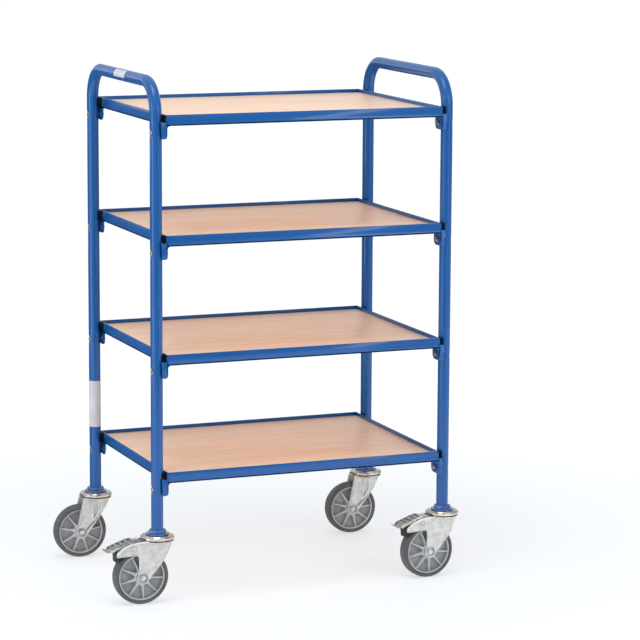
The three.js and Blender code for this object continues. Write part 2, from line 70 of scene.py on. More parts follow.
# Shelf frames, with heights counted down from the top of the rim
RIM_HEIGHT = 24
RIM_FLANGE = 22
SHEET = 3
RIM_END_GAP = 18
RIM_SIDE_GAP = 18.5
BOARD_TOP = 8.2
BOARD_THICKNESS = 12.5
BRACKET_DROP = 29
BRACKET_REACH = 18
BRACKET_CORNER = 12
BRACKET_FILLET = 7
EAR_EDGE = 7.5
EAR_CORNER = 8
NOTCH_RADIUS = 8
NOTCH_CENTRE = (12.5, 15)
BOLT_DROP = 39.5
BOSS_RADII = (8, 11)
DISH_RADIUS = 8.6

# Casters, about the swivel axis with the wheel trailing towards -X
TOP_PLATE_RADIUS = 37.95
TOP_PLATE_FLAT = 30
CROWN_RADIUS = 37
RIVET_RADIUS = 12
FORK_INSIDE = 19.5
FORK_PLATE = 3
FORK_FACE = FORK_INSIDE + FORK_PLATE
AXLE_EYE = 14
AXLE_SEAT_RADII = (10.6, 9.2, 5.2)
AXLE_SEAT_DEPTH = 2.6
AXLE_SEAT_WALL = (9.4, 10.5)
AXLE_BOLT_SINK = 2.4
SWIVEL_BASE = 136.4

# Creases of the fork plates: where they start and end, the bend ahead of them, and how it grows
PLAIN_CREASE = ((14, 104), (16, 146), 0.5, 0.02)
BRAKED_CREASE = ((11, 104), (15, 146), 0.12, 0.028)
CREASE_CUTS = (0, 1.5, 3, 5, 7.5, 10, 13)
CREASE_LEVELS = range(84, 140, 8)
CREASE_FADE = (84, 118)

# Threads of all bolts
THREAD_PITCH = 1.25
THREAD_DEPTH = 0.6

# Wheels
TYRE_WIDTH = 32
TREAD_DEPTH = 9.2
RIM_WIDTH = 27
HUB_WIDTH = 35
HUB_RADIUS = 17
SPOKES = 9
FIRST_SPOKE = math.radians(5)
SPOKE_HALF = 11.5
SPOKE_ROOT_HALF = 15.5
SPOKE_TIP_HALF = 11.8
ROLLED = {"front_left": 0, "front_right": 2, "back_left": -14, "back_right": -9}


# Places read from the frame

def box(node):
    """The lowest and highest corner of a CAD node, in millimetres."""
    return [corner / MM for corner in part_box(node)]


JOINTS = {joint["name"]: joint for joint in frame["joints"]}
CORNERS = ("front_left", "front_right", "back_left", "back_right")
SIDES = {"left": -1, "right": 1}


def joint_place(name):
    """The point of a joint, in millimetres."""
    return Vector(JOINTS[name]["pos_m"]) / MM


LEGS = {corner: joint_place(f"swivel_{corner}") for corner in CORNERS}
MIDDLE_X = (LEGS["front_left"].x + LEGS["front_right"].x) / 2
HALF_X = (LEGS["front_right"].x - LEGS["front_left"].x) / 2
HALF_Y = LEGS["back_left"].y
FOOT_BASE, BAR_TOP = (corner.z for corner in box("side_frame_left"))
FOOT_TOP = FOOT_BASE + FOOT_THICKNESS
RIM_TOPS = [box(f"shelf_frame_{number}")[1].z for number in range(1, 5)]
PLATE_TOP = box("caster_head_front_left")[1].z


def side_place(name):
    """A joint of the front left caster on its side view: how far behind the swivel axis, and how high."""
    point = joint_place(name)
    return Vector((-(point - LEGS["front_left"]).xy.length, point.z))


AXLE = side_place("roll_front_left")
PIVOT = side_place("brake_left")
WHEEL_RADIUS = AXLE.y


def put(point, turn=0.0, mirror=1):
    """The matrix that puts a piece at a point of the frame, turned about Z, its X side mirrored for -1."""
    return (Matrix.Scale(MM, 4) @ Matrix.Translation(point) @ Matrix.Rotation(turn, 4, "Z")
            @ Matrix.Diagonal((mirror, 1, 1, 1)))


def swivel_turn(corner):
    """The angle about Z at which a caster stands."""
    axis = JOINTS[f"roll_{corner}"]["axis"]
    return math.atan2(-axis[0], axis[1])


def caster_place(corner):
    """The place of a caster: its swivel axis, on the floor."""
    leg = LEGS[corner]
    return put((leg.x, leg.y, 0), swivel_turn(corner))


def axle_place(corner):
    """The place of an axle, which lies along Y."""
    return put(joint_place(f"roll_{corner}"), swivel_turn(corner))


def wheel_place(corner):
    """The place of a wheel on its axle, as it happens to have rolled."""
    return axle_place(corner) @ Matrix.Rotation(math.radians(ROLLED[corner]), 4, "Y")


ALONG_Y = Matrix.Rotation(math.pi / 2, 4, "X")


# Outlines

def arc(centre, radius, start, end, steps=8):
    """Points on an arc about a centre, between two angles in degrees."""
    turns = [math.radians(start + (end - start) * step / steps) for step in range(steps + 1)]
    return [Vector((centre[0] + radius * math.cos(a), centre[1] + radius * math.sin(a))) for a in turns]


def rounded(corners, steps=6):
    """An outline from corners (across, up, radius), where a radius of 0 leaves the corner sharp."""
    points = []
    for number, (across, up, radius) in enumerate(corners):
        corner = Vector((across, up))
        if radius == 0:
            points.append(corner)
            continue
        before = (Vector(corners[number - 1][:2]) - corner).normalized()
        after = (Vector(corners[(number + 1) % len(corners)][:2]) - corner).normalized()
        half = before.angle(after) / 2
        centre = corner + (before + after).normalized() * (radius / math.sin(half))
        first = corner + before * (radius / math.tan(half)) - centre
        last = corner + after * (radius / math.tan(half)) - centre
        points += [centre + radius * first.slerp(last, step / steps) for step in range(steps + 1)]
    return points


def folded(line, thickness):
    """The closed outline of a sheet whose upper side follows a line of points."""
    line = [Vector(point) for point in line]
    under = []
    for number, point in enumerate(line):
        along = (line[min(number + 1, len(line) - 1)] - line[max(number - 1, 0)]).normalized()
        under.append(point + Vector((-along.y, along.x)) * thickness)
    return line + under[::-1]


def rectangle(half_across, half_up, radius, steps):
    """A rounded rectangle about the middle."""
    signs = ((-1, -1), (1, -1), (1, 1), (-1, 1))
    return rounded([(across * half_across, up * half_up, radius) for across, up in signs], steps)


def smooth_step(low, high, value):
    """0 below the low value, 1 above the high one, and smooth in between."""
    share = min(1.0, max(0.0, (value - low) / (high - low)))
    return share * share * (3 - 2 * share)


# Shapes

def moved(shape, matrix):
    """A shape under a transform."""
    bmesh.ops.transform(shape, matrix=matrix, verts=shape.verts)
    if matrix.determinant() < 0:
        bmesh.ops.reverse_faces(shape, faces=shape.faces)
    return shape


def joined(*shapes):
    """Several shapes as one."""
    whole = shapes[0]
    for shape in shapes[1:]:
        part = bpy.data.meshes.new("part")
        shape.to_mesh(part)
        whole.from_mesh(part)
        bpy.data.meshes.remove(part)
    return whole


def outline_edges(shape, points):
    """A closed line of edges through points."""
    verts = [shape.verts.new(point) for point in points]
    return verts, [shape.edges.new(pair) for pair in zip(verts, verts[1:] + verts[:1])]


def turned(profile, steps=64):
    """A solid of revolution about Z from its closed outline of (radius, height) points."""
    shape = bmesh.new()
    verts, edges = outline_edges(shape, [(radius, 0, height) for radius, height in profile])
    bmesh.ops.spin(shape, geom=verts + edges, cent=(0, 0, 0), axis=(0, 0, 1), angle=math.tau, steps=steps,
                   use_merge=True)
    bmesh.ops.remove_doubles(shape, verts=shape.verts, dist=0.001)
    bmesh.ops.dissolve_degenerate(shape, edges=shape.edges, dist=0.001)
    loose = [line for line in shape.edges if line.is_wire]
    bmesh.ops.delete(shape, geom=loose, context="EDGES")
    bmesh.ops.recalc_face_normals(shape, faces=shape.faces)
    return shape


def soften(shape, edges, size):
    """Bevels edges with a round profile."""
    bmesh.ops.bevel(shape, geom=edges, offset=size, offset_type="OFFSET", segments=2, profile=0.5,
                    affect="EDGES", clamp_overlap=True, material=-1)


def thickened(shape, step):
    """Grows the flat faces of a shape into a solid by a step."""
    grown = bmesh.ops.extrude_face_region(shape, geom=list(shape.faces))["geom"]
    verts = [item for item in grown if isinstance(item, bmesh.types.BMVert)]
    bmesh.ops.translate(shape, verts=verts, vec=step)
    bmesh.ops.recalc_face_normals(shape, faces=shape.faces)


def plate(outline, near, far, edge, holes=()):
    """A plate across Y: outline and holes in X and Z, its faces at two places on Y, its edges softened."""
    shape = bmesh.new()
    edges = []
    for line in (outline, *holes):
        edges += outline_edges(shape, [(across, near, up) for across, up in line])[1]
    bmesh.ops.triangle_fill(shape, edges=edges, use_beauty=True, use_dissolve=not holes)
    thickened(shape, (0, far - near, 0))
    if edge:
        rims = [line for line in shape.edges
                if {abs(face.normal.y) > 0.5 for face in line.link_faces} == {True, False}]
        soften(shape, rims, edge)
    return shape


def along_x(shape):
    """A plate across Y, turned to lie across X: its X becomes Y, and its Y becomes X."""
    return moved(shape, Matrix(((0, 1, 0, 0), (1, 0, 0, 0), (0, 0, 1, 0), (0, 0, 0, 1))))


def level(shape):
    """A plate across Y, laid flat: its Z becomes Y, and its Y becomes Z."""
    return moved(shape, Matrix(((1, 0, 0, 0), (0, 0, 1, 0), (0, 1, 0, 0), (0, 0, 0, 1))))


def hexagon(across, base, top, chamfer):
    """A hexagon head or nut about Z, its top corners bevelled."""
    shape = bmesh.new()
    bmesh.ops.create_circle(shape, cap_ends=True, segments=6, radius=across / math.sqrt(3))
    bmesh.ops.translate(shape, verts=shape.verts, vec=(0, 0, base))
    thickened(shape, (0, 0, top - base))
    ends = [line for line in shape.edges if abs(line.verts[0].co.z - line.verts[1].co.z) < 0.01]
    soften(shape, ends, chamfer)
    return shape


def threaded(radius, base, top):
    """A threaded end about Z, its crests as rings."""
    root = radius - THREAD_DEPTH
    ridge = []
    for number in range(int((top - base) / THREAD_PITCH)):
        foot = base + number * THREAD_PITCH
        ridge += [(root, foot), (radius, foot + THREAD_PITCH / 2)]
    return turned([(0, base), *ridge, (root, top - 0.4), (root - 0.8, top), (0, top)], 24)


# Materials

class Value:
    """One socket of a material. Sums on it add Math nodes, and node() adds a node of any other kind."""

    def __init__(self, tree, socket):
        self.tree = tree
        self.socket = socket

    def node(self, kind, settings, inputs, output=0):
        """A new node of a kind, with its settings made first and its inputs set or linked."""
        made = self.tree.nodes.new("ShaderNode" + kind)
        for name, value in settings.items():
            setattr(made, name, value)
        fill(made, inputs)
        return Value(self.tree, made.outputs[output])

    def math(self, operation, first, second):
        """The result of a Math node on two values."""
        return self.node("Math", {"operation": operation}, {0: first, 1: second})

    def __add__(self, other):
        return self.math("ADD", self, other)

    def __radd__(self, other):
        return self.math("ADD", other, self)

    def __sub__(self, other):
        return self.math("SUBTRACT", self, other)

    def __rsub__(self, other):
        return self.math("SUBTRACT", other, self)

    def __mul__(self, other):
        return self.math("MULTIPLY", self, other)

    def __rmul__(self, other):
        return self.math("MULTIPLY", other, self)

    def __mod__(self, other):
        return self.math("FLOORED_MODULO", self, other)

    def __abs__(self):
        return self.math("ABSOLUTE", self, 0)

    def between(self, low, high):
        """0 below the low value, 1 above the high one, and smooth in between."""
        settings = {"interpolation_type": "SMOOTHSTEP"}
        return self.node("MapRange", settings, {"Value": self, "From Min": low, "From Max": high})


def fill(node, inputs):
    """Sets or links the inputs of a node."""
    for name, value in inputs.items():
        if isinstance(value, Value):
            value.tree.links.new(value.socket, node.inputs[name])
        else:
            node.inputs[name].default_value = value


def colour(code):
    """A colour of the shader from a screen colour such as 2869af."""
    parts = [int(code[i:i + 2], 16) / 255 for i in (0, 2, 4)]
    linear = [part / 12.92 if part < 0.04045 else ((part + 0.055) / 1.055) ** 2.4 for part in parts]
    return (*linear, 1)


def tinted(share, first, second):
    """A colour between two colours."""
    settings = {"data_type": "RGBA"}
    return share.node("Mix", settings, {0: share, 6: first, 7: second}, 2)


def stretched(place, scale):
    """The place on a piece, with each direction scaled by itself."""
    return place.node("Mapping", {}, {"Vector": place, "Scale": scale})


def grain(place, scale, detail=3.0, roughness=0.5):
    """Even noise over the place, from 0 to 1."""
    inputs = {"Vector": place, "Scale": scale, "Detail": detail, "Roughness": roughness}
    return place.node("TexNoise", {}, inputs)


def bump(height, distance, strength):
    """A normal from a height."""
    return height.node("Bump", {}, {"Height": height, "Distance": distance, "Strength": strength})


def shades(cloud, dark, light):
    """Two shades of a colour, spread by a noise."""
    return tinted(cloud.between(0.3, 0.7), colour(dark), colour(light))


def mottled(mottle, dark, light, gloss, relief, metallic):
    """A metal whose shade, roughness and relief all follow one noise."""
    roughness, spread = gloss
    return {
        "Base Color": shades(mottle, dark, light),
        "Metallic": metallic,
        "Roughness": roughness + spread * mottle,
        "Normal": bump(mottle, *relief),
    }


def material(name, describe):
    """A material whose shader inputs a function gives from the place on the object."""
    made = bpy.data.materials.new(name)
    made.use_nodes = True
    tree = made.node_tree
    place = Value(tree, None).node("TexCoord", {}, {}, "Object")
    fill(tree.nodes["Principled BSDF"], describe(place))
    return made


# The edges of the painted shade in the slots, in metres, each from its first trace to its full depth:
# inwards from the leg's axis, above the bracket's lower edge, and beside the leg
SLOT_START = (0.004, 0.009)
SLOT_END = (0.0195, 0.021)
SLOT_RISE = (0.03, 0.036)
SLOT_TOP = (0.05, 0.055)
SLOT_SIDE = (0.013, 0.0185)


def painted_slot_shade(place):
    """1 deep in the slots between the legs and the shelf brackets, where the coat gets a painted shade, and
    0 elsewhere.
    """
    across, along, up = (place.node("SeparateXYZ", {}, {"Vector": place}, axis) for axis in "XYZ")
    inwards = HALF_X * MM - abs(across - MIDDLE_X * MM)
    beside = abs(abs(along) - HALF_Y * MM)
    shelf_pitch = (RIM_TOPS[1] - RIM_TOPS[0]) * MM
    bracket_base = (RIM_TOPS[0] - RIM_HEIGHT - BRACKET_DROP) * MM
    above_base = (up - bracket_base) % shelf_pitch
    behind_leg = inwards.between(*SLOT_START) * (1 - inwards.between(*SLOT_END))
    below_rim = (0.4 + 0.6 * above_base.between(*SLOT_RISE)) * (1 - above_base.between(*SLOT_TOP))
    return behind_leg * below_rim * (1 - beside.between(*SLOT_SIDE))


def powder_coat(place):
    """Blue powder coat: an even colour with a fine orange peel, and a near-black, matt painted shade deep
    in the bracket slots.
    """
    slot_shade = painted_slot_shade(place)
    peel = grain(place, 420.0, 2.0)
    coat = shades(grain(place, 6.0), "05559b", "0a59a1")
    return {
        # The near-black colour is painted shade in the slots between the legs and the brackets
        "Base Color": tinted(slot_shade, coat, colour("020a16")),
        "Roughness": 0.3 + 0.1 * grain(place, 35.0) + 0.6 * slot_shade,
        "Specular IOR Level": 0.25,
        "Coat Weight": 0.5 * (1 - slot_shade),
        "Coat Roughness": 0.08,
        "Normal": bump(peel, 0.00025, 0.35),
    }


def coated_weld(place):
    """The same coat, run smooth and glossy over the beads of a weld."""
    ripple = grain(place, 260.0, 2.0)
    return {
        "Base Color": tinted(grain(place, 90.0).between(0.35, 0.65), colour("07478c"), colour("0d5aa4")),
        "Roughness": 0.1 + 0.1 * grain(place, 60.0),
        "Specular IOR Level": 0.6,
        "Coat Weight": 0.9,
        "Coat Roughness": 0.03,
        "Normal": bump(ripple, 0.002, 0.7),
    }


def beech(place):
    """Light beech decor: long grain along X with short darker flecks."""
    figure = grain(stretched(place, (1.4, 26.0, 26.0)), 1.6, 5.0, 0.55)
    streak = grain(stretched(place, (6.0, 240.0, 240.0)), 1.5, 3.0, 0.6)
    fleck = grain(stretched(place, (90.0, 700.0, 700.0)), 1.0, 1.0).between(0.6, 0.72)
    wood = tinted(figure.between(0.32, 0.68), colour("f9d3b5"), colour("ffe2ca"))
    wood = tinted(0.5 * streak.between(0.4, 0.75), wood, colour("e8b48e"))
    return {
        "Base Color": tinted(0.3 * fleck, wood, colour("c08a63")),
        "Roughness": 0.36 + 0.12 * streak,
        "Specular IOR Level": 0.4,
        "Normal": bump(streak, 0.0002, 0.25),
    }


def bright_zinc(place):
    """Bright zinc plate: pale metal, mottled, with faint marks of the press."""
    mottle = grain(place, 75.0, 4.0, 0.6)
    marks = grain(stretched(place, (60.0, 60.0, 260.0)), 1.0)
    return {
        "Base Color": shades(mottle, "b7bab9", "d3d5d4"),
        "Metallic": 0.75,
        "Roughness": 0.28 + 0.2 * mottle,
        "Normal": bump(mottle + 0.5 * marks, 0.0005, 0.4),
    }


def tinted_zinc(place):
    """Zinc with the brown and rosy sheen of its passivation."""
    return {
        "Base Color": shades(grain(place, 38.0), "b3aca7", "d9d3cf"),
        "Metallic": 0.95,
        "Roughness": 0.16 + 0.14 * grain(place, 110.0),
        "Normal": bump(grain(place, 300.0), 0.0002, 0.3),
    }


def edge_highlight_zinc(place):
    """Near-white zinc on the edges and folds of a pressing: a painted highlight where light catches them.
    """
    return mottled(grain(place, 160.0), "e4e6e6", "fbfcfc", (0.3, 0.15), (0.0003, 0.3), 0.45)


def shade_dulled_zinc(place):
    """Zinc on small bolts, darker than the other zinc: painted shade of the seats and dishes that they sit
    in.
    """
    return mottled(grain(place, 300.0), "7d7f7e", "b2b3b0", (0.26, 0.2), (0.0003, 0.4), 0.9)


def pressed_zinc(place):
    """Zinc on a worn pressing: glossier and darker, so that its folds and ridges stand out."""
    mottle = grain(place, 110.0, 4.0, 0.6)
    return mottled(mottle, "9fa2a3", "c4c7c8", (0.16, 0.16), (0.0006, 0.5), 0.95)


def bright_steel(place):
    """Turned and rolled steel of bolts and sleeves."""
    ring = grain(stretched(place, (900.0, 60.0, 900.0)), 1.0, 2.0)
    return {
        "Base Color": shades(grain(place, 150.0), "a6a9ab", "d2d4d5"),
        "Metallic": 0.95,
        "Roughness": 0.24 + 0.16 * ring,
        "Normal": bump(ring, 0.0001, 0.3),
    }


def grey_rubber(place):
    """Grey rubber of the tyres: matt, with a little dust in its pores."""
    dust = grain(place, 24.0, 4.0, 0.6)
    pores = grain(place, 900.0, 2.0)
    return {
        "Base Color": tinted(dust.between(0.35, 0.7), colour("525355"), colour("616264")),
        "Roughness": 0.6 + 0.2 * dust,
        "Specular IOR Level": 0.4,
        "Normal": bump(pores, 0.0003, 0.35),
    }


def moulded(dark, light):
    """A moulded grey plastic between two shades."""
    def describe(place):
        return {
            "Base Color": shades(grain(place, 40.0), dark, light),
            "Roughness": 0.42 + 0.16 * grain(place, 120.0),
            "Specular IOR Level": 0.45,
            "Normal": bump(grain(place, 1300.0, 2.0), 0.00015, 0.4),
        }
    return describe


def black_rubber(place):
    """Black rubber of the brake shoes."""
    return {
        "Base Color": shades(grain(place, 60.0), "1c1d1e", "2b2c2d"),
        "Roughness": 0.68 + 0.15 * grain(place, 200.0),
        "Normal": bump(grain(place, 800.0), 0.0003, 0.4),
    }


def blank_film(place):
    """Pale self-adhesive film."""
    return {
        "Base Color": shades(grain(place, 30.0), "c3c6cc", "d3d5da"),
        "Roughness": 0.35 + 0.1 * grain(place, 150.0),
        "Normal": bump(grain(place, 500.0), 0.0001, 0.3),
    }


PAINT = material("blue_powder_coat", powder_coat)
WELD = material("coated_weld", coated_weld)
BEECH = material("beech_decor", beech)
ZINC = material("bright_zinc", bright_zinc)
CAP_ZINC = material("tinted_zinc", tinted_zinc)
PEDAL_ZINC = material("pressed_zinc", pressed_zinc)
# Bolts take a darker zinc as painted shade of their seats
BOLT_ZINC = material("shade_dulled_zinc", shade_dulled_zinc)
# Near-white zinc for the edges and folds of the forks: a painted highlight
EDGE_HIGHLIGHT_ZINC = material("edge_highlight_zinc", edge_highlight_zinc)
STEEL = material("bright_steel", bright_steel)
RUBBER = material("grey_rubber", grey_rubber)
# One plastic in two shades: the web darker as painted shade of its recesses, the ribs, ring and collars
# lighter as painted highlight
SHADED_WEB_PLASTIC = material("wheel_web", moulded("929496", "a2a4a6"))
HIGHLIGHTED_RIB_PLASTIC = material("wheel_rib", moulded("b7b9ba", "c8cacb"))
SHOE_RUBBER = material("black_rubber", black_rubber)
FILM = material("blank_film", blank_film)


def add_object(name, data):
    """A new object in the scene."""
    made = bpy.data.objects.new(name, data)
    bpy.context.scene.collection.objects.link(made)
    return made


def make_piece(name, shape, place, body, finish, nodes=(), crease=32):
    """A piece of the trolley from a shape in millimetres. It rides on a body and stands for CAD nodes."""
    mesh = bpy.data.meshes.new(name)
    shape.to_mesh(mesh)
    mesh.transform(place)
    if place.determinant() < 0:
        mesh.flip_normals()
    mesh.shade_smooth()
    mesh.set_sharp_from_angle(angle=math.radians(crease))
    for coat in finish if isinstance(finish, tuple) else (finish,):
        mesh.materials.append(coat)
    piece = add_object(name, mesh)
    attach(piece, body)
    if nodes:
        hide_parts(*nodes)


def make_set(ending, pieces):
    """Pieces that share the ending of their names with the CAD nodes that they stand for."""
    for name, shape, place, body, slot, finish, node in pieces:
        make_piece(f"{name}_{ending}", shape, place, body, finish, [f"{node}_{ending}"])


# Side frames

def leg_heights():
    """Heights of the rings of a leg, close together at the bolt seats."""
    fine = [step * SEAT_EDGE / 8 for step in range(-8, 9)]
    seats = [top - BOLT_DROP + offset for top in RIM_TOPS for offset in fine]
    return [FOOT_BASE + 1, *seats, BAR_TOP - TUBE_RADIUS - BEND_RADIUS]


def extruded(shape, edges, step):
    """Carries a ring of edges on by a step, and gives the new ring."""
    grown = bmesh.ops.extrude_edge_only(shape, edges=edges)["geom"]
    verts = [item for item in grown if isinstance(item, bmesh.types.BMVert)]
    bmesh.ops.translate(shape, verts=verts, vec=step)
    return [item for item in grown if isinstance(item, bmesh.types.BMEdge)]


def bent(shape, edges, centre):
    """Carries a ring of edges round a quarter bend in the plane of the side frame."""
    verts = list({vert for line in edges for vert in line.verts})
    grown = bmesh.ops.spin(shape, geom=verts + edges, cent=centre, axis=(1, 0, 0),
                           angle=-math.pi / 2, steps=20)
    return [item for item in grown["geom_last"] if isinstance(item, bmesh.types.BMEdge)]


def press_seats(shape):
    """Presses the flat seats of the bolts into the outer side of the legs."""
    face = -(TUBE_RADIUS - SEAT_DEPTH)
    for vert in shape.verts:
        if vert.co.x > face:
            continue
        for top in RIM_TOPS:
            off = math.hypot(abs(vert.co.y) - HALF_Y, vert.co.z - (top - BOLT_DROP))
            vert.co.x = face + (vert.co.x - face) * smooth_step(SEAT_FLAT, SEAT_EDGE, off)


def side_tube():
    """The bent tube of one side frame, about the middle between its legs, its outer side towards -X."""
    shape = bmesh.new()
    heights = leg_heights()
    ring = bmesh.ops.create_circle(shape, segments=64, radius=TUBE_RADIUS)["verts"]
    bmesh.ops.translate(shape, verts=ring, vec=(0, -HALF_Y, heights[0]))
    first = list(shape.edges)
    edges = first
    for low, high in zip(heights, heights[1:]):
        edges = extruded(shape, edges, (0, 0, high - low))
    edges = bent(shape, edges, (0, BEND_RADIUS - HALF_Y, heights[-1]))
    edges = extruded(shape, edges, (0, 2 * (HALF_Y - BEND_RADIUS), 0))
    edges = bent(shape, edges, (0, HALF_Y - BEND_RADIUS, heights[-1]))
    for high, low in zip(heights[::-1], heights[-2::-1]):
        edges = extruded(shape, edges, (0, 0, low - high))
    bmesh.ops.contextual_create(shape, geom=first)
    bmesh.ops.contextual_create(shape, geom=edges)
    bmesh.ops.recalc_face_normals(shape, faces=shape.faces)
    press_seats(shape)
    return shape


def foot_disc():
    """The disc under a leg, about the leg's axis."""
    edge = 1.0
    return turned(rounded([
        (0, FOOT_BASE, 0), (FOOT_RADIUS, FOOT_BASE, edge), (FOOT_RADIUS, FOOT_TOP, edge), (0, FOOT_TOP, 0),
    ], 4))


def foot_weld(seed):
    """The lumpy weld between a leg and its foot disc."""
    inside = TUBE_RADIUS - 1
    bead = [(TUBE_RADIUS + point.x * WELD_REACH, FOOT_TOP + point.y * WELD_HEIGHT)
            for point in arc((0, 0), 1, 0, 90)]
    shape = turned([(inside, FOOT_TOP - 1), (TUBE_RADIUS + WELD_REACH, FOOT_TOP - 1), *bead,
                    (inside, FOOT_TOP + WELD_HEIGHT)], 96)
    start = Vector((seed * 37.0, seed * 11.0, 0))
    for vert in shape.verts:
        out = vert.co.xy.length
        if out > TUBE_RADIUS and vert.co.z > FOOT_TOP:
            lump = noise.noise(vert.co * 0.26 + start) + 0.6 * noise.noise(vert.co * 0.6 + start)
            swell = WELD_LUMP * lump * min(1.0, (out - TUBE_RADIUS) / 2)
            away = Vector((vert.co.x, vert.co.y, 0)).normalized() + Vector((0, 0, 1.2))
            vert.co += away * swell
    return shape


def make_side_frames():
    """Both side frames with their feet."""
    tube = side_tube()
    for side, sign in SIDES.items():
        place = put((LEGS[f"front_{side}"].x, 0, 0), mirror=-sign)
        node = [f"side_frame_{side}"]
        make_piece(f"side_tube_{side}", tube, place, "trolley", PAINT, node, 50)
    disc = foot_disc()
    for seed, corner in enumerate(CORNERS):
        leg = LEGS[corner]
        node = [f"side_frame_{corner.split('_')[1]}"]
        place = put((leg.x, leg.y, 0), seed)
        make_piece(f"foot_disc_{corner}", disc, place, "trolley", WELD, node)
        make_piece(f"foot_weld_{corner}", foot_weld(seed), place, "trolley", WELD, node, 60)


# Shelf frames

def corner_outline():
    """The left half of the front outline: rim end, notch, ear and the fillet back to the lower edge."""
    leg, low = -HALF_X, -RIM_HEIGHT
    end = leg + RIM_END_GAP
    ear_right = end + SHEET
    notch = arc((leg + NOTCH_CENTRE[0], low + NOTCH_CENTRE[1]), NOTCH_RADIUS, 0, -150, 14)
    ear = rounded([
        (leg + EAR_EDGE, low + NOTCH_CENTRE[1], 0),
        (leg + EAR_EDGE, low - BRACKET_DROP, EAR_CORNER / 2),
        (ear_right, low - BRACKET_DROP, EAR_CORNER),
        (ear_right, low + NOTCH_CENTRE[1], 0),
    ])[1:-1]
    fillet = arc((ear_right + BRACKET_FILLET, low - BRACKET_FILLET), BRACKET_FILLET, 180, 90, 6)
    return [Vector((end, 0)), *notch, *ear, *fillet]


def mirrored(points):
    """An outline's left half with its right half."""
    return points + [Vector((-point.x, point.y)) for point in reversed(points)]


def web_outline():
    """The outline in Y and Z of the rim's end, with the webs of its two corner brackets."""
    low = -RIM_HEIGHT
    side = -(HALF_Y + RIM_SIDE_GAP)
    reach = -HALF_Y + BRACKET_REACH
    web = rounded([
        (side, low, 0),
        (side, low - BRACKET_DROP, EAR_CORNER),
        (reach, low - BRACKET_DROP, BRACKET_CORNER),
        (reach, low, 0),
    ])[1:-1]
    fillet = arc((reach + BRACKET_FILLET, low - BRACKET_FILLET), BRACKET_FILLET, 180, 90, 6)
    return mirrored([Vector((side, 0)), *web, *fillet])


def boss():
    """The boss pressed out of a web towards the leg, about the bolt's axis, with the dish behind it."""
    bore, seat = 4.4, TUBE_RADIUS + 0.3
    inner, outer = BOSS_RADII
    outer += 1.5
    back = RIM_END_GAP + SHEET - 0.6
    shape = turned(rounded([
        (bore, seat, 0), (inner, seat, 0.8), (outer, RIM_END_GAP + 0.8, 1.5), (outer, back, 0.4),
        (DISH_RADIUS + 0.6, back, 0.6), (DISH_RADIUS - 2.0, seat + SHEET, 0.6), (bore, seat + SHEET, 0),
    ], 4), 40)
    return moved(shape, Matrix.Rotation(math.pi / 2, 4, "Y"))


def shelf_frame():
    """A shelf frame about the middle of its rim's top: angle rim, corner brackets and bosses."""
    length, width = HALF_X - RIM_END_GAP, HALF_Y + RIM_SIDE_GAP
    front = mirrored(corner_outline())
    bolts = [(y, -BOLT_DROP) for y in (-HALF_Y, HALF_Y)]
    holes = [arc(bolt, DISH_RADIUS, 0, 360, 32)[:-1] for bolt in bolts]
    parts = []
    for sign in (-1, 1):
        faces = sorted((sign * width, sign * (width - SHEET)))
        parts.append(plate(front, *faces, edge=0.7))
        ends = sorted((sign * length, sign * (length - SHEET)))
        parts.append(along_x(plate(web_outline(), *ends, holes=holes, edge=0.7)))
    outside = rectangle(length, width, 1, 3)
    inside = rectangle(length - RIM_FLANGE, width - RIM_FLANGE, 1, 3)
    parts.append(level(plate(outside, -RIM_HEIGHT, SHEET - RIM_HEIGHT, holes=[inside], edge=0.6)))
    for x_sign in (-1, 1):
        for y_sign in (-1, 1):
            spot = Matrix.Translation((x_sign * HALF_X, y_sign * HALF_Y, -BOLT_DROP))
            parts.append(moved(boss(), spot @ Matrix.Diagonal((-x_sign, 1, 1, 1))))
    return joined(*parts)


def shelf_board():
    """A shelf board about the middle of its rim's top."""
    gap = 0.3
    across = HALF_X - RIM_END_GAP - SHEET - gap
    along = HALF_Y + RIM_SIDE_GAP - SHEET - gap
    return level(plate(rectangle(across, along, 2, 4), -BOARD_TOP - BOARD_THICKNESS, -BOARD_TOP, edge=0.6))


def shelf_bolt():
    """A shelf bolt on a left leg: low round head in its seat outside, nut and thread in the dish inside."""
    seat = -(TUBE_RADIUS - SEAT_DEPTH) - 0.3
    nut = TUBE_RADIUS + SHEET + 0.6
    head = turned(rounded([
        (0, seat, 0), (6.4, seat, 0), (6.4, seat - 1.1, 0.8), (3.6, seat - 2.9, 3.0), (0, seat - 2.9, 0),
    ], 5), 40)
    shank = turned([(0, seat - 1), (4, seat - 1), (4, nut), (0, nut)], 24)
    rear = joined(hexagon(13, nut, nut + 6.5, 0.9), threaded(4, nut + 6, nut + 9.4))
    return moved(joined(head, shank, rear), Matrix.Rotation(math.pi / 2, 4, "Y"))


def make_shelves():
    """The four shelf frames with their boards and bolts."""
    rim, board, bolt = shelf_frame(), shelf_board(), shelf_bolt()
    for number, top in enumerate(RIM_TOPS, 1):
        place = put((MIDDLE_X, 0, top))
        make_set(number, [
            ("shelf_rim", rim, place, "trolley", "paint", PAINT, "shelf_frame"),
            ("shelf_top", board, place, "trolley", "board", BEECH, "shelf_board"),
        ])
        for corner, leg in LEGS.items():
            sign = SIDES[corner.split("_")[1]]
            spot = put((leg.x, leg.y, top - BOLT_DROP), mirror=-sign)
            make_set(f"{number}_{corner}", [
                ("bolt", bolt, spot, "trolley", "zinc", BOLT_ZINC, "shelf_bolt"),
            ])


# Casters

